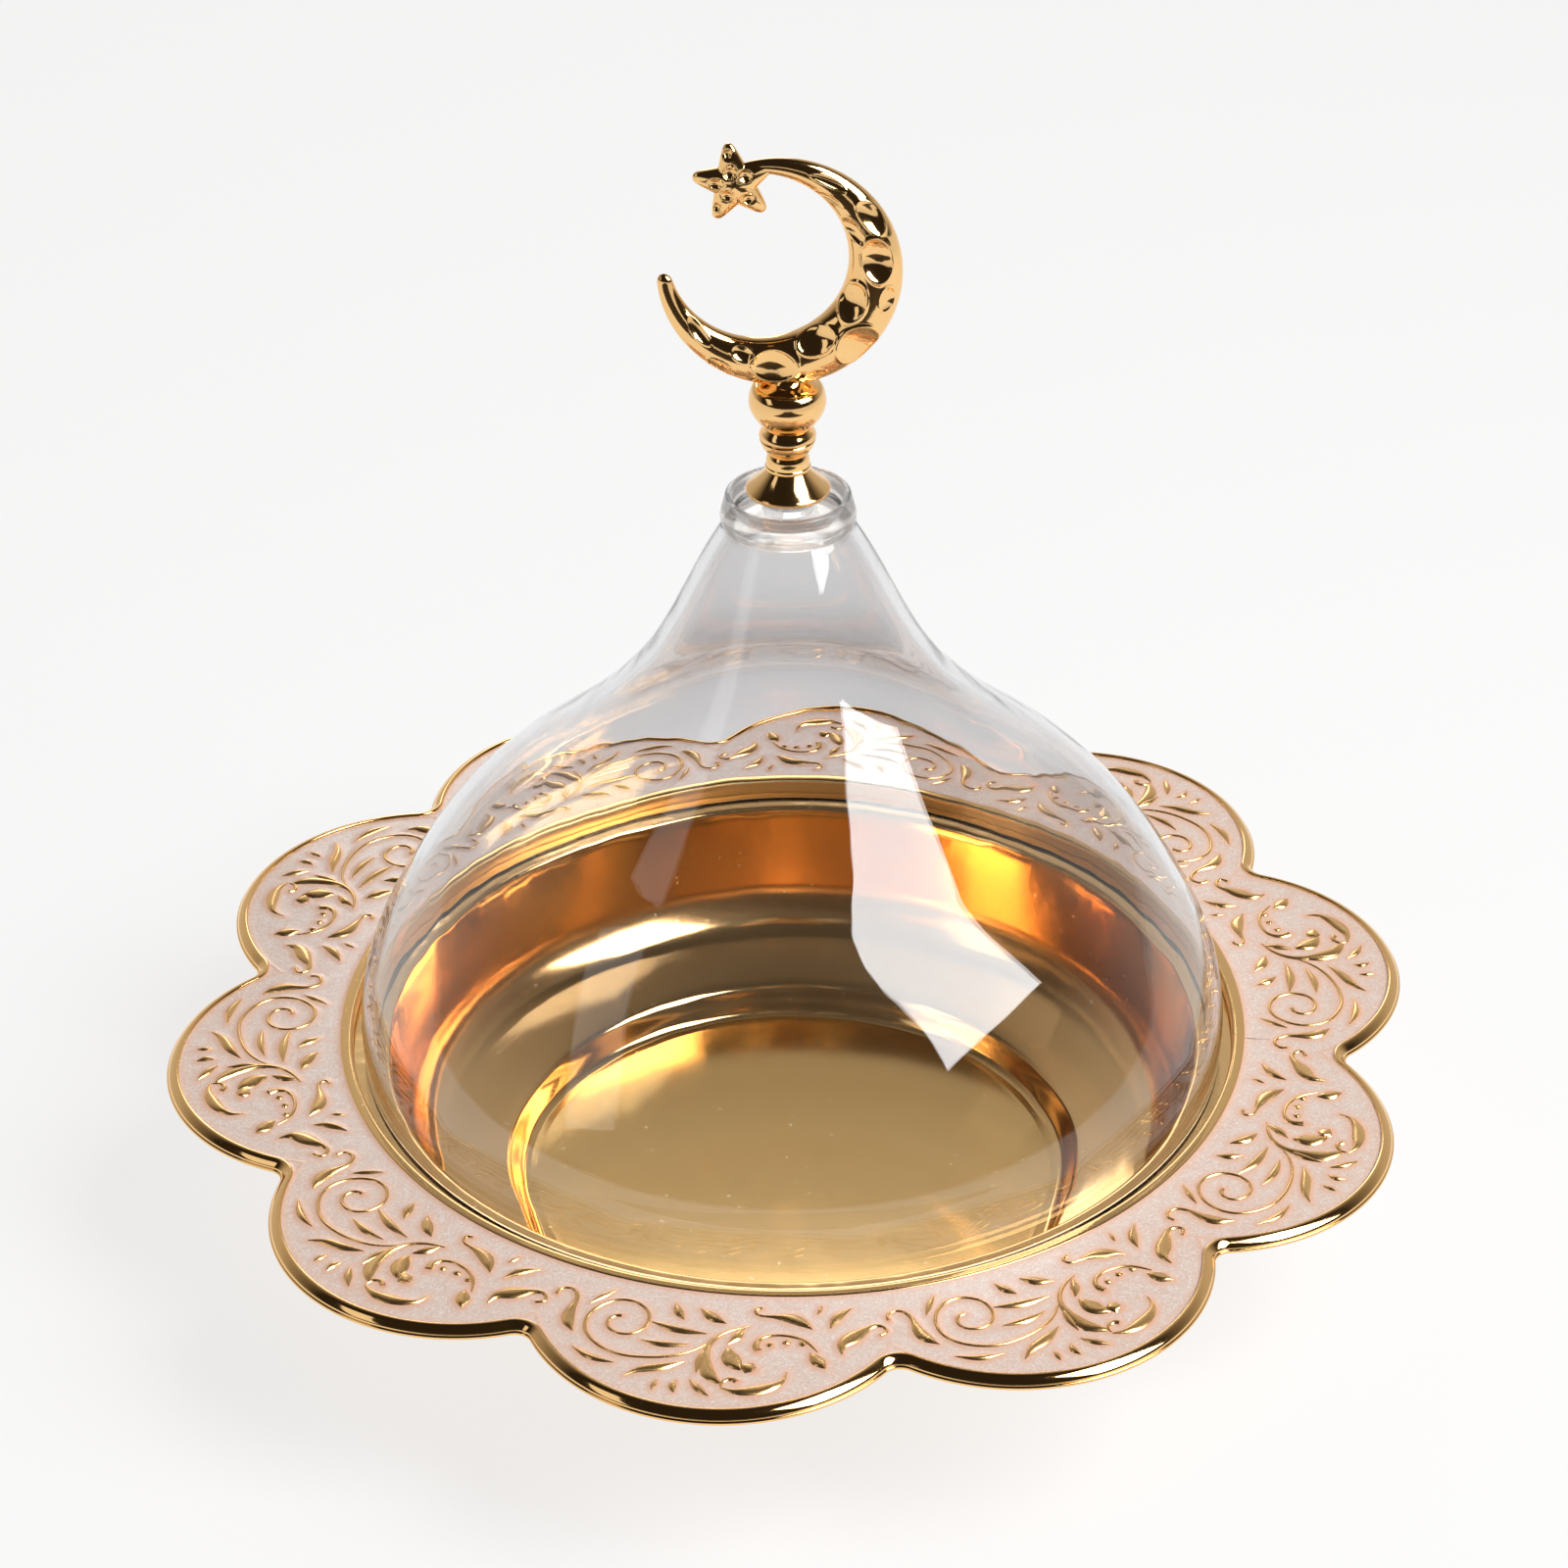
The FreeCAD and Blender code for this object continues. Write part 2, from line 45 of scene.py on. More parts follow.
class Shade:
    """A socket in a material's node tree; arithmetic on it adds the Math nodes."""

    def __init__(self, tree, socket=None):
        self.tree = tree
        self.socket = socket

    @classmethod
    def begin(cls, name):
        material = bpy.data.materials.new(name)
        material.use_nodes = True
        material.node_tree.nodes.clear()
        shade = cls(material.node_tree)
        shade.material = material
        return shade

    def node(self, kind, settings=None, sockets=None, out=0):
        """Any node: its settings are set first, then its sockets take values or links."""
        made = self.tree.nodes.new(kind)
        for key, value in (settings or {}).items():
            if key == "stops":
                ramp = made.color_ramp.elements
                while len(ramp) < len(value):
                    ramp.new(1.0)
                for stop, (place, colour) in zip(ramp, value):
                    stop.position = place
                    stop.color = colour
            else:
                setattr(made, key, value)
        for key, value in (sockets or {}).items():
            if isinstance(value, Shade):
                self.tree.links.new(value.socket, made.inputs[key])
            else:
                made.inputs[key].default_value = value
        return Shade(self.tree, made.outputs[out] if made.outputs else None)

    def math(self, operation, *values):
        return self.node("ShaderNodeMath", {"operation": operation}, dict(enumerate(values)))

    def __add__(self, other):
        return self.math("ADD", self, other)

    def __radd__(self, other):
        return self.math("ADD", other, self)

    def __sub__(self, other):
        return self.math("SUBTRACT", self, other)

    def __rsub__(self, other):
        return self.math("SUBTRACT", other, self)

    def __mul__(self, other):
        return self.math("MULTIPLY", self, other)

    def __rmul__(self, other):
        return self.math("MULTIPLY", other, self)

    def __pow__(self, other):
        return self.math("POWER", self, other)

    def place(self):
        return self.node("ShaderNodeTexCoord", out="Object")

    def part(self, place, axis):
        return self.node("ShaderNodeSeparateXYZ", None, {"Vector": place}, out=axis)

    def from_axis(self, place):
        """Distance from the bowl's axis."""
        return (self.part(place, "X") ** 2 + self.part(place, "Y") ** 2) ** 0.5

    def noise(self, place, scale, detail=2.0, distortion=0.0):
        sockets = {"Vector": place, "Scale": scale, "Detail": detail, "Distortion": distortion}
        return self.node("ShaderNodeTexNoise", None, sockets)

    def ramp(self, value, *stops):
        return self.node("ShaderNodeValToRGB", {"stops": stops}, {"Fac": value})

    def peaks(self, value, low, high):
        """Share that is 0 where a pattern is below low and 1 where it is above high."""
        return self.ramp(value, (low, (0, 0, 0, 1)), (high, (1, 1, 1, 1)))

    def hairlines(self, place):
        """Share that is 1 on fine straight rubbing marks."""
        sockets = {"Vector": place, "Rotation": (0.2, 0.1, 0.6), "Scale": (160.0, 2600.0, 900.0)}
        stretched = self.node("ShaderNodeMapping", None, sockets)
        return self.peaks(self.noise(stretched, 1.0), 0.60, 0.72)

    def rising(self, value, low, high):
        """Share that goes from 0 to 1 while a value goes from low to high."""
        limits = {"Value": value, "From Min": low, "From Max": high}
        return self.node("ShaderNodeMapRange", {"interpolation_type": "SMOOTHSTEP"}, limits)

    def blend(self, share, first, second):
        """Colour between two colours, or sockets, by a share."""
        return self.node(
            "ShaderNodeMix", {"data_type": "RGBA"}, {"Factor": share, 6: first, 7: second}, out=2
        )

    def bump(self, height):
        """Normal from a height in metres."""
        return self.node("ShaderNodeBump", None, {"Height": height, "Strength": 1.0, "Distance": 1.0})

    def surface(self, **sockets):
        named = {key.replace("_", " "): value for key, value in sockets.items()}
        return self.node("ShaderNodeBsdfPrincipled", None, named)

    def finish(self, shader):
        self.node("ShaderNodeOutputMaterial", None, {"Surface": shader})
        return self.material


WARM_GOLD = (0.95, 0.58, 0.235, 1)
PALE_GOLD = (0.94, 0.605, 0.265, 1)
BRIGHT_SPECK = (0.98, 0.82, 0.55, 1)


def gilded(name, roughness, swell, swell_scale, scratches, satin=0.0):
    """Gold plating over polished brass: uneven metal, hairlines and specks; satin within a radius."""
    gold = Shade.begin(name)
    place = gold.place()
    slow = gold.noise(place, swell_scale, 1.5)
    fine = gold.noise(place, 900.0, 3.0)
    hairs = gold.hairlines(place)
    specks = gold.peaks(gold.noise(place, 700.0, 1.0), 0.74, 0.78)
    tint = gold.blend(slow, WARM_GOLD, PALE_GOLD)
    tint = gold.blend(specks * 0.30, tint, BRIGHT_SPECK)
    height = slow * swell + fine * 2.0e-7 + hairs * (scratches * 1.5e-6)
    dull = roughness + fine * (0.35 * roughness) + hairs * (scratches * 0.12) + specks * 0.10
    if satin:
        dull = dull + 0.3 * (1.0 - gold.rising(gold.from_axis(place), satin, satin + 0.0006))
    return gold.finish(
        gold.surface(Base_Color=tint, Metallic=1.0, Roughness=dull, Normal=gold.bump(height))
    )


SAME_SPOT = 1e-7
LONGEST_SPAN = 3.0


def turned(corners, steps):
    """Mesh spun about the bowl's axis from (radius, height, fillet) corners in millimetres."""
    bm = bmesh.new()
    verts = [bm.verts.new((radius * MM, 0, height * MM)) for radius, height, _ in corners]
    for here, after in zip(verts, verts[1:]):
        bm.edges.new((here, after))
    for vert, (_, _, fillet) in zip(verts, corners):
        if fillet:
            away = [edge.other_vert(vert).co - vert.co for edge in vert.link_edges]
            reach = fillet * MM / math.tan(away[0].angle(away[1]) / 2)
            bmesh.ops.bevel(
                bm, geom=[vert], offset=reach, offset_type="OFFSET", segments=5 + int(fillet),
                profile=0.5, affect="VERTICES", material=-1,
            )
    for edge in bm.edges[:]:
        cuts = int(edge.calc_length() / (LONGEST_SPAN * MM))
        if cuts:
            bmesh.ops.subdivide_edges(bm, edges=[edge], cuts=cuts)
    spin(bm, bm.verts[:] + bm.edges[:], (0, 0, 0), 2 * math.pi, steps, True)
    bmesh.ops.remove_doubles(bm, verts=bm.verts[:], dist=SAME_SPOT)
    return bm


def spin(bm, geometry, centre, angle, steps, merge=False):
    """Geometry swept about an upright axis; returns what lies at the sweep's end."""
    swept = bmesh.ops.spin(
        bm, geom=geometry, cent=centre, axis=(0, 0, 1), angle=angle, steps=steps, use_merge=merge
    )
    return swept["geom_last"]


def finished(bm, name, material, body, *nodes, sharp=40):
    """Object of a closed mesh, smooth but for its sharp edges, that rides a body."""
    bmesh.ops.remove_doubles(bm, verts=bm.verts[:], dist=SAME_SPOT)
    bmesh.ops.recalc_face_normals(bm, faces=bm.faces[:])
    mesh = bpy.data.meshes.new(name)
    bm.to_mesh(mesh)
    bm.free()
    mesh.shade_smooth()
    mesh.set_sharp_from_angle(angle=math.radians(sharp))
    mesh.materials.append(material)
    piece = bpy.data.objects.new(name, mesh)
    bpy.context.scene.collection.objects.link(piece)
    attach(piece, body)
    if nodes:
        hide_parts(*nodes)
    return piece


SHEET = 1.2
FLANGE_RADIUS = 109.0
FLANGE_TOP = 46.7
MOUTH_RADIUS = 100.6
BOWL_CORNERS = [
    (FLANGE_RADIUS, FLANGE_TOP, 0), (MOUTH_RADIUS, FLANGE_TOP, 1.4), (96.5, 15.3, 14.0),
    (72.5, 7.9, 2.5), (69.2, SHEET, 2.4), (0, SHEET, 0),
]
sheet = turned(BOWL_CORNERS, steps=256)
bmesh.ops.recalc_face_normals(sheet, faces=sheet.faces[:])
bmesh.ops.solidify(sheet, geom=sheet.faces[:], thickness=SHEET * MM)
pressed = Shade.begin("gold_sheet")
place = pressed.place()
out = pressed.from_axis(place)
SHEET_WARM = (0.95, 0.58, 0.24, 1)
SHEET_PALE = (0.94, 0.63, 0.30, 1)
SHEET_SPECK = (0.99, 0.88, 0.66, 1)
FLOOR_GOLD = (0.92, 0.605, 0.235, 1)
# Painted shade and warm reflection: the bowl's inner wall is tinted darker orange than the rest of the
# sheet.
WALL_PAINTED_SHADE_GOLD = (0.84, 0.46, 0.195, 1)
FLOOR_EDGE = 0.066
flat_floor = 1.0 - pressed.rising(out, FLOOR_EDGE, 0.072)
wall = pressed.rising(pressed.part(place, "Z"), 0.012, 0.022)
flange = pressed.rising(out, 0.0985, 0.1005)
drawn = pressed.node("ShaderNodeMapping", None, {"Vector": place, "Scale": (150.0, 150.0, 26.0)})
streaks = pressed.noise(drawn, 1.0, 2.0)
waves = pressed.noise(place, 46.0, 1.0)
ripple = pressed.noise(place, 120.0, 1.0)
grain = pressed.noise(place, 1500.0, 3.0)
hairs = pressed.hairlines(place)
specks = pressed.peaks(pressed.noise(place, 520.0, 1.0), 0.75, 0.78)
tint = pressed.blend(waves, SHEET_WARM, SHEET_PALE)
tint = pressed.blend(flat_floor * 0.8, tint, FLOOR_GOLD)
# Painted shade and warm reflection on the inner wall, left off the flange.
tint = pressed.blend(wall * (0.8 - flange * 0.8), tint, WALL_PAINTED_SHADE_GOLD)
tint = pressed.blend(specks * 0.5, tint, SHEET_SPECK)
sag = waves * (4.0e-5 + wall * 1.6e-4 + flange * 1.0e-4)
sag = sag + ripple * (wall * 5.0e-5 + flange * 1.0e-4)
dish = pressed.math("MINIMUM", out, FLOOR_EDGE) ** 2 * 0.58
height = sag + dish + streaks * (wall * 2.6e-5) + grain * 2.0e-7 + hairs * 3.0e-7
dull = 0.08 + flat_floor * 0.02 + wall * 0.10 - flange * 0.09
dull = dull + grain * 0.02 + hairs * 0.03 + specks * 0.1
sheet_gold = pressed.finish(
    pressed.surface(Base_Color=tint, Metallic=1.0, Roughness=dull, Normal=pressed.bump(height))
)
bowl = finished(sheet, "bowl_sheet", sheet_gold, "bowl", "bowl_pan")

# Rim: a cast ring with ten petals, gold plated, with a rolled bead and a thin lip round its
# edge, a field for the enamel and a border round the rebate that takes the bowl's flange.
PETALS = 10
PITCH = 2 * math.pi / PETALS
FIRST_PETAL = math.radians(9.5)
PETAL_CENTRE = 108.1
PETAL_RADIUS = 46.9
NOTCH_RADIUS = 4.0
SWEEP_SLACK = 1e-6


def polar(radius, angle):
    """Place in metres at a radius in millimetres and an angle about the bowl's axis."""
    return Vector((radius * math.cos(angle), radius * math.sin(angle), 0)) * MM


def petal_run(bm, section, petal_steps, notch_steps):
    """Sweeps a section, points as (inset from the edge, level), round all petals arc by arc."""
    across = PETAL_CENTRE * math.sin(PITCH / 2)
    reach = math.sqrt((PETAL_RADIUS + NOTCH_RADIUS) ** 2 - across**2)
    notch_place = PETAL_CENTRE * math.cos(PITCH / 2) + reach
    along = notch_place * math.cos(PITCH / 2) - PETAL_CENTRE
    half = math.atan2(notch_place * math.sin(PITCH / 2), along)
    centre = polar(PETAL_CENTRE, FIRST_PETAL)
    outward = polar(1, FIRST_PETAL - half) / MM
    verts = []
    for inset, level in section:
        spot = centre + outward * (PETAL_RADIUS - inset) * MM + Vector((0, 0, level * MM))
        verts.append(bm.verts.new(spot))
    edges = [bm.edges.new(pair) for pair in zip(verts, verts[1:])]
    end = verts + edges
    for petal in range(PETALS):
        angle = FIRST_PETAL + PITCH * petal
        end = spin(bm, end, polar(PETAL_CENTRE, angle), 2 * half, petal_steps)
        end = spin(bm, end, polar(notch_place, angle + PITCH / 2), PITCH - 2 * half, notch_steps)
    bmesh.ops.remove_doubles(bm, verts=bm.verts[:], dist=SWEEP_SLACK)


def rounded_quarter(inset, level, radius, first_deg):
    """Points of a quarter fillet in the rim's section, as insets and levels."""
    turns = [math.radians(first_deg + 30 * step) for step in range(4)]
    return [(inset + radius * math.cos(turn), level + radius * math.sin(turn)) for turn in turns]


def flowing(points, per_span):
    """Places on a smooth curve through the given points."""
    known = np.array(points, float)
    gaps = np.linalg.norm(np.diff(known[:, :2], axis=0), axis=1)
    count = len(known)
    system = np.eye(count)
    pull = np.zeros_like(known)
    for i in range(1, count - 1):
        system[i, i - 1:i + 2] = gaps[i - 1], 2 * (gaps[i - 1] + gaps[i]), gaps[i]
        pull[i] = 6 * ((known[i + 1] - known[i]) / gaps[i] - (known[i] - known[i - 1]) / gaps[i - 1])
    bend = np.linalg.solve(system, pull)
    curve = []
    for i, gap in enumerate(gaps):
        for step in range(per_span):
            b = step / per_span
            a = 1 - b
            sag = ((a**3 - a) * bend[i] + (b**3 - b) * bend[i + 1]) * gap**2 / 6
            curve.append(a * known[i] + b * known[i + 1] + sag)
    return np.array(curve + [known[-1]])


def pull_in(bm, edges, path):
    """Extrudes a loop through (radius, level) circles about the bowl's axis."""
    for radius, level in path:
        made = bmesh.ops.extrude_edge_only(bm, edges=edges)["geom"]
        for vert in [item for item in made if isinstance(item, bmesh.types.BMVert)]:
            flat = Vector((vert.co.x, vert.co.y, 0)).normalized() * radius * MM
            vert.co = (flat.x, flat.y, level * MM)
        edges = [item for item in made if isinstance(item, bmesh.types.BMEdge)]
        edges = [
            edge for edge in edges
            if all(abs(vert.co.z - level * MM) < SWEEP_SLACK for vert in edge.verts)
            and all(abs(vert.co.xy.length - radius * MM) < SWEEP_SLACK for vert in edge.verts)
        ]
    return edges


rim = bmesh.new()
CROWN = [
    (3.2, 49.7), (3.15, 50.45), (2.95, 50.86), (2.5, 51.0), (1.75, 50.74), (0.98, 50.2),
    (0.48, 49.62), (0.36, 49.25),
]
LIP_INSET = 0.32
LIP_RADIUS = 0.3
LIP_MIDDLE = 49.0
RIM_BOTTOM = 48.2
HUB_BOTTOM = 43.5
HUB_RADIUS = 112.5
REBATE_RADIUS = 109.2
REBATE_FLOOR = 45.5
SEAT_RADIUS = 104.2
edge_section = [*flowing(CROWN, 4), (0.42, 49.12)]
edge_section += rounded_quarter(LIP_INSET, 48.8, LIP_RADIUS, 90)
edge_section += rounded_quarter(LIP_INSET, 48.5, LIP_RADIUS, 180)
petal_run(rim, edge_section, petal_steps=56, notch_steps=18)
free = [edge for edge in rim.edges if edge.is_boundary]
upper = [edge for edge in free if edge.verts[0].co.z > LIP_MIDDLE * MM]
lower = [edge for edge in free if edge.verts[0].co.z < LIP_MIDDLE * MM]
BORDER = [
    (112.48, 49.7), (112.4, 50.2), (112.1, 50.52), (111.4, 50.62), (110.4, 50.6), (109.7, 50.42),
    (109.35, 50.05), (REBATE_RADIUS, 49.4),
]
rebate = [(REBATE_RADIUS, REBATE_FLOOR), (SEAT_RADIUS, REBATE_FLOOR), (SEAT_RADIUS, HUB_BOTTOM)]
underside = [(116.0, RIM_BOTTOM), (HUB_RADIUS, RIM_BOTTOM), (HUB_RADIUS, HUB_BOTTOM)]
upper = pull_in(rim, upper, [*flowing(BORDER, 3), *rebate])
lower = pull_in(rim, lower, underside)
bmesh.ops.bridge_loops(rim, edges=upper + lower)
cast_gold = gilded(
    "gold_cast_rim", roughness=0.06, swell=6.0e-6, swell_scale=260.0, scratches=0.2, satin=0.1094
)
rim_piece = finished(rim, "rim_casting", cast_gold, "bowl", "rim_plate")

# Scrollwork: leaves, curls and a spiral stem cast with the rim, the same in every petal, that
# stand through the enamel; their crests are polished free and plated like the rim.
# Each stroke: places along it as (across the petal, out from the bowl's axis, width).
STROKES = [
    [(0.5, 130, 0.5), (3, 132.5, 0.7), (8, 135.2, 0.9), (14, 136.3, 0.9), (20, 135.8, 0.9),
     (25, 133, 0.9), (28.3, 128.5, 0.9), (28.5, 124, 0.9), (26, 119.5, 0.9), (21.5, 117.2, 0.9),
     (17.5, 118.3, 0.9), (15, 121.5, 0.9), (14.8, 124.5, 0.9), (16, 127.3, 0.9),
     (18.7, 128.9, 0.9), (21.5, 128.5, 0.9), (23.5, 126.6, 0.9), (23.6, 124.6, 0.9),
     (22.3, 123, 1.0), (21, 122.8, 1.1)],
    [(-8, 122.8, 0.5), (-4, 124.8, 0.9), (-1, 128, 1.1), (0.2, 132, 1.5), (-0.2, 136, 2.0),
     (-1.5, 140, 2.5), (-4.5, 143, 1.0)],
    [(-5, 144.5, 0.6), (-8, 145.3, 1.4), (-12, 144.6, 2.4), (-16, 142.7, 1.9), (-18.3, 140, 1.0),
     (-18.6, 137.2, 0.4)],
    [(-5, 144, 0.6), (-5.2, 142.3, 0.9), (-7, 141.3, 1.2), (-8.2, 142, 1.3)],
    [(-8.5, 137.8, 0.8), (-5.8, 134.5, 3.4), (-4.6, 130.8, 0.8)],
    [(-4.3, 129.5, 0.5), (-6, 126.6, 1.8), (-7, 123.5, 0.4)],
    [(-11.3, 137.4, 1.6), (-10, 136.8, 2.8), (-8.6, 136.6, 1.4)],
    [(-24.5, 129.5, 0.5), (-21.5, 126.3, 0.9), (-18, 124.9, 0.9), (-14.5, 124.9, 0.9),
     (-11.5, 126.3, 1.1), (-10.5, 128.8, 1.4), (-11.2, 130.8, 1.6)],
    [(-21.4, 127.5, 1.0), (-20.8, 127.1, 1.5), (-20.3, 126.7, 1.0)],
    [(-17.3, 127.9, 1.0), (-17.2, 127.3, 1.6), (-17.1, 126.7, 1.0)],
    [(-14.0, 128.9, 1.0), (-13.6, 128.4, 1.5), (-13.2, 127.9, 1.0)],
    [(-27, 134.8, 0.5), (-25.0, 132.6, 2.6), (-23, 130, 0.5)],
    [(-30, 129.5, 0.5), (-29.6, 126.5, 1.9), (-31.5, 123.5, 3.0), (-34, 120.5, 1.7),
     (-37, 118.6, 1.0), (-38.8, 120, 0.9), (-37.6, 121.7, 1.0)],
    [(-26.2, 121, 0.4), (-27, 117.5, 1.8), (-30, 113.3, 0.4)],
    [(-22.7, 116.5, 0.4), (-23, 115, 1.0), (-23.2, 113.3, 0.4)],
    [(-22.3, 121.8, 0.4), (-18, 119.0, 2.6), (-11.5, 118.6, 0.9), (-9.2, 118.1, 0.9),
     (-8.7, 116.8, 0.9), (-10, 116, 1.0)],
    [(-2.8, 122.3, 0.4), (0.5, 120.6, 2.2), (3.6, 117.8, 0.4)],
    [(6.8, 122.3, 0.4), (8.4, 119.8, 1.8), (9.5, 116.8, 0.4)],
    [(14, 124, 0.4), (8, 126.0, 1.8), (1, 126.5, 0.4)],
    [(15.3, 130.6, 0.4), (10, 131.5, 1.6), (4.5, 130.8, 0.4)],
    [(16.8, 143, 0.4), (14.0, 140.9, 1.5), (9, 139.1, 1.9), (4.5, 136.7, 0.4)],
    [(-2.8, 147.5, 0.4), (0, 145.2, 1.6), (2.2, 142.5, 0.4)],
    [(5, 147.3, 0.4), (5.6, 145.2, 1.5), (5, 143.2, 0.4)],
    [(10, 147, 0.4), (9.8, 145.3, 1.2), (9.5, 143.5, 0.4)],
    [(20, 139, 0.4), (25, 138.0, 1.6), (30, 134.8, 0.4)],
    [(1.2, 140, 0.4), (1.0, 135.5, 1.6), (0, 131, 0.5)],
    [(31, 129.5, 0.4), (32.8, 125.5, 2.4), (32.5, 121, 1.5), (32.2, 117, 1.0), (34, 114.7, 0.9),
     (36.5, 115.3, 0.9), (37, 117, 1.0)],
    [(28.7, 119.3, 0.4), (26.5, 116.8, 1.3), (23.7, 114, 0.4)],
]
SCROLL_FOOT = 50.12
THINNEST_STROKE = 0.45
CREST_OFFSET = 0.2
LEAST_RISE = 0.22
TALLEST_WIDTH = 2.6
scrolls = bmesh.new()
relief_marks = []
for stroke in STROKES:
    spine = flowing(stroke, 6)
    spine[:, 2] = np.maximum(spine[:, 2] * (1.12 + 0.2 * np.minimum(spine[:, 2], 2)), THINNEST_STROKE)
    heading = np.gradient(spine[:, :2], axis=0)
    heading /= np.linalg.norm(heading, axis=1)[:, None]
    grid = bmesh.ops.create_grid(scrolls, x_segments=len(spine) - 1, y_segments=8, size=1.0)["verts"]
    for vert in grid:
        row = round((vert.co.x + 1) / 2 * (len(spine) - 1))
        side = vert.co.y
        width = spine[row, 2]
        from_crest = side - CREST_OFFSET
        slope = from_crest / (1 + CREST_OFFSET if from_crest < 0 else 1 - CREST_OFFSET)
        rise = 0.36 * min(width, TALLEST_WIDTH) ** 0.75 + LEAST_RISE
        level = SCROLL_FOOT + rise * (1 - slope**2) ** 0.8
        left = np.array([-heading[row][1], heading[row][0]])
        x, y = spine[row][:2] + left * side * width / 2
        vert.co = (y * MM, -x * MM, level * MM)
    edge_loop = [edge for edge in {e for vert in grid for e in vert.link_edges} if edge.is_boundary]
    bmesh.ops.contextual_create(scrolls, geom=edge_loop)
    relief_marks += [(y, -x, width / 2) for x, y, width in spine]
to_first_petal = Matrix.Rotation(FIRST_PETAL, 3, "Z")
bmesh.ops.rotate(scrolls, cent=(0, 0, 0), matrix=to_first_petal, verts=scrolls.verts[:])
one_petal = scrolls.verts[:] + scrolls.edges[:] + scrolls.faces[:]
bmesh.ops.spin(
    scrolls, geom=one_petal, cent=(0, 0, 0), axis=(0, 0, 1), angle=PITCH * (PETALS - 1),
    steps=PETALS - 1, use_duplicate=True,
)
scroll_gold = gilded(
    "gold_scrolls", roughness=0.22, swell=8.0e-6, swell_scale=420.0, scratches=0.0
)
scroll_piece = finished(scrolls, "rim_scrollwork", scroll_gold, "bowl", sharp=60)

# Enamel: translucent pearl enamel poured into the rim's field and fired; it creeps up a little
# at every gold edge, where it is thin and lets the warm metal show through, and where a warm
# reflection and shade from the gold relief are painted in.
marks = kdtree.KDTree(len(relief_marks) * PETALS)
for petal in range(PETALS):
    turn = FIRST_PETAL + PITCH * petal
    for number, (out, side, _) in enumerate(relief_marks):
        x = out * math.cos(turn) - side * math.sin(turn)
        y = out * math.sin(turn) + side * math.cos(turn)
        marks.insert((x, y, 0), petal * len(relief_marks) + number)
marks.balance()
ENAMEL_INSET = 3.0
ENAMEL_TOP = 50.3
ENAMEL_BOTTOM = 49.75
ENAMEL_MIDDLE = 50.0
ENAMEL_INNER = 112.2
SHORTEST_RAY = 8.0
enamel = bmesh.new()
enamel_edge = [(ENAMEL_INSET, ENAMEL_TOP), (ENAMEL_INSET, ENAMEL_BOTTOM)]
petal_run(enamel, enamel_edge, petal_steps=104, notch_steps=26)
free = [edge for edge in enamel.edges if edge.is_boundary]
upper = [edge for edge in free if edge.verts[0].co.z > ENAMEL_MIDDLE * MM]
lower = [edge for edge in free if edge.verts[0].co.z < ENAMEL_MIDDLE * MM]
upper = pull_in(enamel, upper, [(ENAMEL_INNER, ENAMEL_TOP)])
lower = pull_in(enamel, lower, [(ENAMEL_INNER, ENAMEL_BOTTOM)])
bmesh.ops.bridge_loops(enamel, edges=upper + lower)
rays = [
    edge for edge in enamel.edges
    if all(vert.co.z > ENAMEL_MIDDLE * MM for vert in edge.verts)
    and abs(edge.verts[0].co.xy.length - edge.verts[1].co.xy.length) > SHORTEST_RAY * MM
]
bmesh.ops.subdivide_edges(enamel, edges=rays, cuts=47, use_grid_fill=True)
bmesh.ops.recalc_face_normals(enamel, faces=enamel.faces[:])
thin = enamel.verts.layers.float.new("thin")
NOTCH_PLACE = 141.2
HALO_REACH = 0.9
CREEP_REACH = 0.5
CREEP_HEIGHT = 0.16
notch = Vector((NOTCH_PLACE * math.cos(PITCH / 2), NOTCH_PLACE * math.sin(PITCH / 2)))
for vert in enamel.verts:
    if vert.co.z > ENAMEL_MIDDLE * MM:
        spot = vert.co.xy / MM
        _, number, gap = marks.find((spot.x, spot.y, 0))
        gap -= relief_marks[number % len(relief_marks)][2]
        angle = math.atan2(spot.y, spot.x) - FIRST_PETAL
        off_axis = (angle + PITCH / 2) % PITCH - PITCH / 2
        folded = Vector((spot.length * math.cos(off_axis), spot.length * abs(math.sin(off_axis))))
        to_petal = PETAL_RADIUS - ENAMEL_INSET - (folded - Vector((PETAL_CENTRE, 0))).length
        to_notch = (folded - notch).length - NOTCH_RADIUS - ENAMEL_INSET
        to_border = spot.length - ENAMEL_INNER
        edge_gap = min(to_petal if to_petal > 0 else to_notch, to_notch, to_border)
        gap = max(min(gap, edge_gap), 0)
        # Share of the warm edge: thin enamel over the metal, plus painted reflection and shade from
        # the gold relief.
        vert[thin] = math.exp(-gap / HALO_REACH)
        vert.co.z += CREEP_HEIGHT * MM * math.exp(-(gap / CREEP_REACH) ** 2)
ROSE_PEARL = (0.70, 0.48, 0.38, 1)
PALE_PEARL = (0.77, 0.63, 0.55, 1)
SILK_PEARL = (0.84, 0.77, 0.73, 1)
MICA_FLECK = (0.95, 0.91, 0.88, 1)
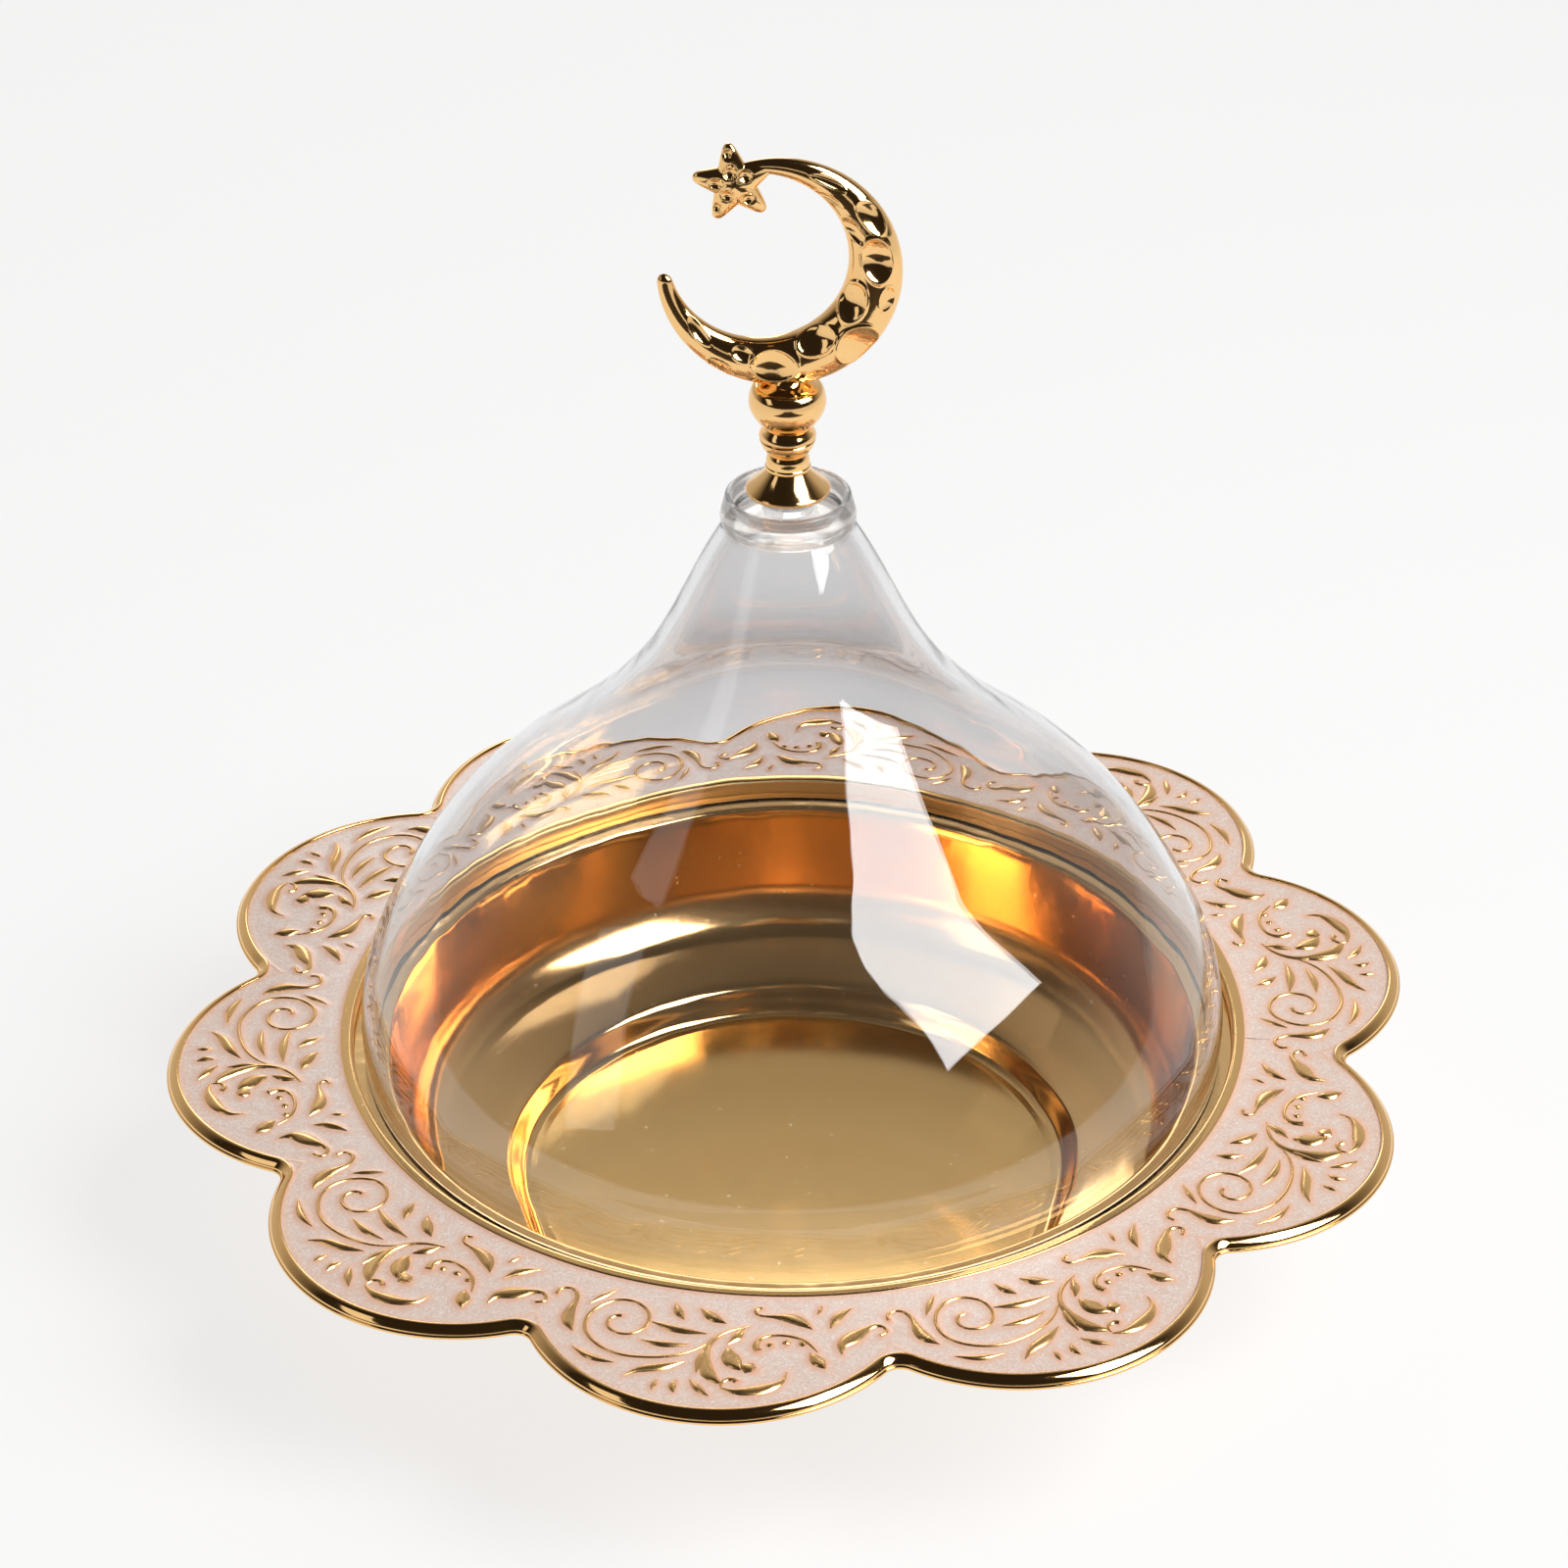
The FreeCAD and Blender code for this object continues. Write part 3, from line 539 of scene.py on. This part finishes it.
# Warm edge colour: the metal seen through thin enamel, plus painted warm reflection and shade from the
# gold.
WARM_EDGE_AND_REFLECTION = (0.84, 0.46, 0.29, 1)
pearl = Shade.begin("pearl_enamel")
place = pearl.place()
edge_and_reflection_share = pearl.node("ShaderNodeAttribute", {"attribute_name": "thin"}, out="Fac")
cloud = pearl.noise(place, 150.0, 3.0, 1.5)
silk = pearl.peaks(pearl.noise(place, 430.0, 4.0, 3.0), 0.47, 0.64)
flecks = pearl.peaks(pearl.noise(place, 2300.0, 2.0, 1.0), 0.55, 0.67)
tone = pearl.blend(cloud, ROSE_PEARL, PALE_PEARL)
tone = pearl.blend(silk * 0.6, tone, SILK_PEARL)
tone = pearl.blend(flecks * 0.75, tone, MICA_FLECK)
# Warm edge at the gold: the metal through thin enamel, with painted reflection and shade.
tone = pearl.blend(edge_and_reflection_share * 0.9, tone, WARM_EDGE_AND_REFLECTION)
ripple = pearl.noise(place, 420.0, 2.0)
pearl_glaze = pearl.finish(
    pearl.surface(
        Base_Color=tone, Roughness=0.36 - silk * 0.08, Coat_Weight=0.4, Coat_Roughness=0.08, IOR=1.5,
        Normal=pearl.bump(ripple * 9.0e-6 + flecks * 2.0e-6),
    )
)
enamel_piece = finished(enamel, "rim_pearl_enamel", pearl_glaze, "bowl", "rim_enamel")

# Dome: clear acrylic blown into a bell with a long neck; a collar cup, a boss and a stub that
# takes the finial are moulded on top. It stands loose on the bowl's flange.
DOME_SHARES = [
    (0.998, 0.00), (1.000, 0.07), (0.970, 0.16), (0.884, 0.27), (0.742, 0.40), (0.517, 0.53),
    (0.339, 0.64), (0.215, 0.74), (0.122, 0.85), (0.045, 0.95), (0.000, 1.00),
]
NECK_RADIUS = 15
DOME_SPREAD = 91.6
DOME_RISE = 142.4
DOME_WALL = 2.4
COLLAR_TOP = 196.5
COLLAR_BORE = 13.0
COLLAR_FLOOR = 192.6
BOSS_RADIUS = 5.7
BOSS_TOP = 197.3
STUB_RADIUS = 3.0
STUB_TOP = 200.5
PLUG_BOTTOM = 188.0
LINING_TOP = 186.5
FOOT_MIDDLE = 105.2
bell_places = [
    (NECK_RADIUS + DOME_SPREAD * out, FLANGE_TOP + DOME_RISE * up) for out, up in DOME_SHARES
]
outline = flowing(bell_places, 14)
heading = np.gradient(outline, axis=0)
heading /= np.linalg.norm(heading, axis=1)[:, None]
lining = outline + np.stack([-heading[:, 1], heading[:, 0]], axis=1) * DOME_WALL
lining[0, 1] = FLANGE_TOP
profile = [(FOOT_MIDDLE, FLANGE_TOP, 0), (outline[0][0], FLANGE_TOP, 0.5)]
profile += [(radius, height, 0) for radius, height in outline[1:]]
profile += [
    (15.6, 189.3, 0.5), (15.9, 191.4, 1.5), (14.6, COLLAR_TOP, 0.6), (COLLAR_BORE, COLLAR_TOP, 0.6),
    (COLLAR_BORE, COLLAR_FLOOR, 0.8), (BOSS_RADIUS, COLLAR_FLOOR, 0.5), (BOSS_RADIUS, BOSS_TOP, 0.3),
    (STUB_RADIUS, BOSS_TOP, 0), (STUB_RADIUS, STUB_TOP, 0.4), (0, STUB_TOP, 0), (0, PLUG_BOTTOM, 0),
    (lining[-1][0], PLUG_BOTTOM, 1.0),
]
profile += [(radius, height, 0) for radius, height in lining[:0:-1] if height < LINING_TOP]
profile += [(lining[0][0], FLANGE_TOP, 0.5), profile[0]]
bell = turned(profile, steps=224)
# Painted shade: the clear acrylic is tinted grey, darkening all that is seen through the dome.
CLEAR_PAINTED_SHADE = (0.885, 0.885, 0.895, 1)
# Painted reflection: the moulded top is tinted warm brown for the gold seen in and through it.
MOULDED_GOLD_REFLECTION = (0.93, 0.86, 0.79, 1)
acrylic = Shade.begin("clear_acrylic")
place = acrylic.place()
moulded = acrylic.rising(acrylic.part(place, "Z"), 0.1875, 0.190)
# Warm painted reflection of the gold on the moulded top, over the grey painted shade of the clear
# acrylic.
tint = acrylic.blend(moulded, CLEAR_PAINTED_SHADE, MOULDED_GOLD_REFLECTION)
wander = acrylic.noise(place, 26.0, 1.0) * 1.2e-4
wander = wander + acrylic.noise(place, 70.0, 1.0) * 6.0e-5
rubbed = acrylic.peaks(acrylic.noise(place, 300.0, 3.0), 0.66, 0.80)
clear = acrylic.surface(
    Base_Color=tint, Roughness=0.004 + rubbed * 0.01 + moulded * 0.012, IOR=1.49,
    Transmission_Weight=1.0, Normal=acrylic.bump(wander * (1.0 - moulded)),
)
open_light = acrylic.node("ShaderNodeBsdfTransparent", None, {"Color": (0.93, 0.94, 0.95, 1)})
shadow_ray = acrylic.node("ShaderNodeLightPath", out="Is Shadow Ray")
straight = acrylic.math("MAXIMUM", shadow_ray, moulded * 0.35)
acrylic_clear = acrylic.finish(
    acrylic.node("ShaderNodeMixShader", None, {"Fac": straight, 1: clear, 2: open_light})
)
dome_piece = finished(bell, "dome_bell", acrylic_clear, "lid", "dome", sharp=35)

# Finial beads: brass turned on a lathe, polished and plated; a flared bell that screws on the
# dome's stub, a barrel, a ring and an urn, strung on a rod and clamped by the crescent's foot.
turned_gold = gilded(
    "gold_turned", roughness=0.08, swell=2.0e-6, swell_scale=300.0, scratches=0.15
)
ROD_BORE = 2.05
STUB_BORE = 3.06
STUB_ROOM_TOP = 200.8
BELL_TOP = 203.0
SPOOL_TOP = 207.2
RING_TOP = 214.0
URN_TOP = 224.3


def bead(name, corners, node):
    """One turned bead of the finial."""
    piece = finished(turned(corners, steps=96), name, turned_gold, "finial", node)


def belly(points, per_span=8):
    """Corners without fillets on a smooth curve through (radius, height) points."""
    return [(radius, height, 0) for radius, height in flowing(points, per_span)]


bead(
    "bell_bead",
    [(STUB_BORE, BOSS_TOP, 0), (9.75, BOSS_TOP, 0.3), (9.75, 198.2, 0.35)]
    + belly([(9.4, 198.55), (8.0, 199.75), (6.6, 201.1), (5.5, 202.3), (4.95, BELL_TOP)])
    + [(ROD_BORE, BELL_TOP, 0), (ROD_BORE, STUB_ROOM_TOP, 0), (STUB_BORE, STUB_ROOM_TOP, 0)]
    + [(STUB_BORE, BOSS_TOP, 0)],
    "finial_bell",
)
bead(
    "spool_bead",
    [(ROD_BORE, BELL_TOP, 0), (5.0, 203.05, 0), (5.3, 203.4, 0.2), (5.3, 204.0, 0.2)]
    + belly([(5.05, 204.25), (5.05, 205.2), (4.9, 206.2), (4.5, SPOOL_TOP)])
    + [(ROD_BORE, SPOOL_TOP, 0), (ROD_BORE, BELL_TOP, 0)],
    "finial_spool",
)
bead(
    "ring_bead",
    [(ROD_BORE, SPOOL_TOP, 0)]
    + belly([(4.5, SPOOL_TOP), (5.05, 207.9), (5.73, 208.7), (6.28, 210.0), (6.45, 210.7)])
    + [(6.2, 210.95, 0), (6.5, 211.2, 0)]
    + belly([(6.64, 211.7), (6.4, 212.5), (6.05, 213.2), (5.7, RING_TOP)])
    + [(ROD_BORE, RING_TOP, 0), (ROD_BORE, SPOOL_TOP, 0)],
    "finial_ring",
)
bead(
    "urn_bead",
    [(ROD_BORE, RING_TOP, 0)]
    + belly([(5.6, RING_TOP), (6.27, 214.7), (7.38, 216.2), (8.27, 217.7), (8.8, 219.2), (8.95, 220.4),
             (8.8, 221.7), (8.5, 222.9), (8.1, 223.7), (7.7, 224.1), (7.1, URN_TOP)])
    + [(ROD_BORE, URN_TOP, 0), (ROD_BORE, RING_TOP, 0)],
    "finial_urn",
)

# Rod: a plain steel rod, threaded at both ends and out of sight inside the beads; it runs from
# the bell to the crescent's foot and clamps the beads between them.
steel = Shade.begin("rod_steel")
place = steel.place()
rings = steel.node("ShaderNodeMapping", None, {"Vector": place, "Scale": (300.0, 300.0, 2500.0)})
brushed = steel.noise(rings, 1.0)
tint = steel.blend(brushed, (0.42, 0.42, 0.43, 1), (0.60, 0.60, 0.61, 1))
rod_steel = steel.finish(
    steel.surface(
        Base_Color=tint, Metallic=1.0, Roughness=0.28 + brushed * 0.15,
        Normal=steel.bump(brushed * 4.0e-6),
    )
)
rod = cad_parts["finial_rod"]
rod.data.materials.clear()
rod.data.materials.append(rod_steel)

# Crescent and star: one brass casting, hammered with dimples on both faces before it was
# polished and plated, on a short foot that is bored and threaded for the rod.
# Each dimple: turn round the crescent, place across it from inner to outer edge, length, width
DIMPLES = [
    (64.6, 0.35, 7.9, 1.9), (59.6, -0.52, 7.5, 1.3), (35.6, 0.49, 8.6, 4.0), (34.4, -0.48, 7.2, 2.9),
    (11.9, 0.09, 10.0, 6.6), (-11.7, 0.53, 6.0, 3.3), (-19.0, -0.55, 9.0, 5.6),
    (-42.7, 0.42, 10.0, 8.0), (-61.6, -0.58, 8.6, 5.4), (-71.4, 0.60, 4.6, 2.6),
    (-93.7, -0.05, 10.0, 7.5), (-114.3, -0.42, 5.3, 3.3), (-121.4, 0.67, 6.6, 3.0),
    (-144.3, -0.40, 7.6, 2.4),
]
OUTER_RADIUS = 27.6
GAP_RADIUS = 20.1
GAP_SHIFT = 6.1
GAP_TURN = 140
SWEEP_START = 111
SWEEP = 290.8
TIP_SHARE = 0.015
CRESCENT_DEPTH_SHARE = 0.74
CRESCENT_ACROSS = -1.5
CRESCENT_LEVEL = 252.2
DIMPLE_DEPTH_SHARE = 0.235
DEEPEST_DIMPLE = 1.55
SCOOP_REACH = 1.4


def crescent_section(degrees):
    """Middle radius and half width, between the outer circle and the gap's circle."""
    along = GAP_SHIFT * math.cos(math.radians(degrees - GAP_TURN))
    inner = along + math.sqrt(GAP_RADIUS**2 - GAP_SHIFT**2 + along**2)
    return (OUTER_RADIUS + inner) / 2, (OUTER_RADIUS - inner) / 2


BURR_SHARE = 0.24
BURR_PLACE = 1.09
BURR_WIDTH = 0.10


def scoop(distance):
    """Depth of a hammered dimple as a share: a hollow with a crisp edge and a burr round it."""
    hollow = max(1 - distance**2, 0)
    return hollow - BURR_SHARE * math.exp(-((distance - BURR_PLACE) / BURR_WIDTH) ** 2)


casting = bmesh.new()
for vert in bmesh.ops.create_grid(casting, x_segments=440, y_segments=132, size=1.0)["verts"]:
    share = (vert.co.x + 1) / 2
    turn = vert.co.y * math.pi
    degrees = SWEEP_START - share * SWEEP
    middle, half_width = crescent_section(degrees)
    end = max(share - (1 - TIP_SHARE), 0) / TIP_SHARE
    fade = max(1 - end**2, 0) ** 0.5 if share else 0
    half_width *= fade
    half_depth = CRESCENT_DEPTH_SHARE * half_width
    side = math.cos(turn)
    front = math.sin(turn)
    for place_deg, across, length, width in DIMPLES:
        reach, spread = crescent_section(place_deg)
        run = math.radians(degrees - place_deg) * (reach + across * spread) / (length / 2)
        if abs(run) < SCOOP_REACH:
            shift = (middle + side * half_width - reach - across * spread) / (width / 2)
            sink = scoop(math.hypot(run, shift)) * min(DIMPLE_DEPTH_SHARE * width, DEEPEST_DIMPLE)
            half_depth -= sink * abs(front) ** 0.5 / max(abs(front), 0.25) * fade
    radius = middle + side * half_width
    spot = math.radians(degrees)
    across, up = radius * math.cos(spot), radius * math.sin(spot)
    vert.co = Vector((across + CRESCENT_ACROSS, front * half_depth, CRESCENT_LEVEL + up)) * MM
# Each mark in the star: place across and up from its centre, width, height
STAR_MARKS = [
    (-1.5, 7.2, 2.0, 2.2), (-0.9, 3.1, 2.8, 2.8), (2.4, 2.1, 3.0, 2.8), (-4.1, 0.4, 3.4, 2.4),
    (-1.55, -2.3, 2.7, 2.6), (2.95, -3.1, 2.8, 2.7), (-3.9, -5.3, 2.2, 2.2),
]
POINT = 2 * math.pi / 5
POINT_REACH = 12.4
NOTCH_REACH = 5.1
BLUNT_REACH = 9.45
BLUNTING = 14
STAR_TURN = math.radians(98.5)
STAR_HALF_DEPTH = 2.6
STAR_ACROSS = -11.3
STAR_LEVEL = 274.0
MARK_DEPTH = 0.85
for vert in bmesh.ops.create_uvsphere(casting, u_segments=200, v_segments=90, radius=1.0)["verts"]:
    turn = math.atan2(vert.co.y, vert.co.x)
    tip = abs((turn - STAR_TURN + POINT / 2) % POINT - POINT / 2)
    sides = POINT_REACH * math.sin(tip) + NOTCH_REACH * math.sin(POINT / 2 - tip)
    straight = POINT_REACH * NOTCH_REACH * math.sin(POINT / 2) / sides
    reach = (straight**-BLUNTING + BLUNT_REACH**-BLUNTING) ** (-1 / BLUNTING)
    inward = min(vert.co.xy.length, 1.0)
    x = reach * inward * math.cos(turn)
    z = reach * inward * math.sin(turn)
    depth = math.copysign(abs(vert.co.z) ** 0.75, vert.co.z) * STAR_HALF_DEPTH
    depth *= 1 - 0.035 * reach * inward
    for mark_x, mark_z, width, height in STAR_MARKS:
        distance = math.hypot((x - mark_x) / (width / 2), (z - mark_z) / (height / 2))
        if distance < SCOOP_REACH:
            sink = scoop(distance) * MARK_DEPTH * min(1.0, abs(vert.co.z) * 2)
            depth -= math.copysign(sink, depth)
    vert.co = Vector((x + STAR_ACROSS, depth, STAR_LEVEL + z)) * MM
FOOT_TOP = 227.4
saddle = belly([(6.9, URN_TOP), (6.2, 224.62), (4.9, 225.1), (3.8, 226.0), (3.4, FOOT_TOP)], 4)
foot_bore = [(ROD_BORE, FOOT_TOP, 0), (ROD_BORE, URN_TOP, 0)]
foot = turned([(ROD_BORE, URN_TOP, 0)] + saddle + foot_bore, steps=64)
foot_mesh = bpy.data.meshes.new("foot")
foot.to_mesh(foot_mesh)
foot.free()
casting.from_mesh(foot_mesh)
bpy.data.meshes.remove(foot_mesh)
finial_gold = gilded(
    "gold_crescent", roughness=0.08, swell=3.5e-5, swell_scale=260.0, scratches=0.0
)
crescent_piece = finished(
    casting, "crescent_and_star", finial_gold, "finial", "finial_crescent", sharp=75
)

# Studio: a pale floor, a large softbox and a faint strip whose reflections lie on the dome, a
# panel behind, a dark felt card in front that only reflections show, and a room that is light
# behind the object and dark above and in front of it.
bm = bmesh.new()
FLOOR_SIZE = 40.0
bmesh.ops.create_grid(bm, x_segments=1, y_segments=1, size=FLOOR_SIZE)
floor_mesh = bpy.data.meshes.new("floor")
bm.to_mesh(floor_mesh)
bm.free()
floor = bpy.data.objects.new("floor", floor_mesh)
floor.location.z = -0.0002
bpy.context.scene.collection.objects.link(floor)
paper = Shade.begin("floor_paper")
grain = paper.noise(paper.place(), 40.0, 2.0)
tone = paper.blend(grain, (0.92, 0.92, 0.92, 1), (0.94, 0.94, 0.94, 1))
matt = paper.surface(Base_Color=tone, Roughness=0.9)
white = paper.node("ShaderNodeEmission", None, {"Color": (1, 1, 1, 1), "Strength": 1.0})
rays = [paper.node("ShaderNodeLightPath", out="Is " + kind + " Ray")
        for kind in ("Camera", "Glossy", "Transmission")]
seen = paper.math("MINIMUM", rays[0] + rays[1] + rays[2], 1.0)
floor_mesh.materials.append(
    paper.finish(paper.node("ShaderNodeMixShader", None, {"Fac": seen * 0.78, 1: matt, 2: white}))
)


def panel(thing, place, up, away):
    """Puts a lamp or a card at a place, its back turned away from the object."""
    upright = Vector(up).normalized()
    back = (Vector(away) - upright * upright.dot(Vector(away))).normalized()
    turn = Matrix((upright.cross(back), upright, back)).transposed()
    thing.matrix_world = Matrix.Translation(place) @ turn.to_4x4()
    bpy.context.scene.collection.objects.link(thing)


def softbox(name, place, up, away, width, height, strength):
    """A rectangular lamp; its strength is the brightness of its face."""
    light = bpy.data.lights.new(name, "AREA")
    light.shape = "RECTANGLE"
    light.size = width
    light.size_y = height
    light.energy = strength * width * height * math.pi
    panel(bpy.data.objects.new(name, light), place, up, away)


softbox(
    "key_softbox", (0.907, -0.485, 1.34), up=(-0.27, 0.113, 0.956), away=(0.88, -0.373, 0.293),
    width=0.85, height=1.32, strength=9.5,
)
softbox(
    "left_strip", (-1.155, -0.59, 0.93), up=(0.092, 0.597, 0.798), away=(-0.784, -0.45, 0.427),
    width=0.38, height=1.19, strength=0.9,
)
softbox(
    "back_panel", (-0.12, 1.70, 0.755), up=(0, 0, 1), away=(0, 1, 0),
    width=0.48, height=0.79, strength=2.3,
)
bm = bmesh.new()
bmesh.ops.create_grid(bm, x_segments=1, y_segments=1, size=1.0)
card_mesh = bpy.data.meshes.new("dark_card")
bm.to_mesh(card_mesh)
bm.free()
card_mesh.transform(Matrix.Diagonal((0.42, 1.0, 1.0, 1.0)))
felt = Shade.begin("black_felt")
nap = felt.noise(felt.place(), 300.0)
tone = felt.blend(nap, (0.032, 0.024, 0.016, 1), (0.046, 0.034, 0.023, 1))
card_mesh.materials.append(felt.finish(felt.surface(Base_Color=tone, Roughness=0.95)))
card = bpy.data.objects.new("dark_card", card_mesh)
panel(card, (0.05, -1.42, 0.002), (0, 1, 0), (0, 0, 1))
card.visible_camera = False
card.visible_diffuse = False
card.visible_shadow = False
card.visible_transmission = False
world = bpy.data.worlds.new("room")
bpy.context.scene.world = world
world.use_nodes = True
world.node_tree.nodes.clear()
room = Shade(world.node_tree)
toward = room.node("ShaderNodeTexCoord", out="Generated")
slope = room.part(toward, "Y") - room.part(toward, "Z") * 0.6
glow = room.ramp(
    slope * 0.5 + 0.5, (0.36, (0.024, 0.019, 0.014, 1)), (0.50, (0.23, 0.205, 0.18, 1)),
    (0.66, (0.50, 0.48, 0.45, 1)), (1.0, (0.66, 0.66, 0.66, 1)),
)
through = room.node("ShaderNodeLightPath", out="Is Transmission Ray")
glow = room.blend(through * 0.10, glow, (0.6, 0.6, 0.6, 1))
glow = room.blend(room.node("ShaderNodeLightPath", out="Is Camera Ray"), glow, (0.8, 0.8, 0.8, 1))
sky = room.node("ShaderNodeBackground", None, {"Color": glow, "Strength": 1.0})
room.node("ShaderNodeOutputWorld", None, {"Surface": sky})

# Camera: the photograph's view, from in front and above with a long lens.
view = bpy.data.cameras.new("camera")
view.lens = 95.86
view.sensor_width = 36.0
camera = bpy.data.objects.new("camera", view)
camera.location = (0, -0.85235, 0.65006)
camera.rotation_euler = [math.radians(turn) for turn in (57.991, 0.426, -0.163)]
bpy.context.scene.collection.objects.link(camera)
bpy.context.scene.camera = camera
bpy.context.scene.view_settings.view_transform = "Standard"
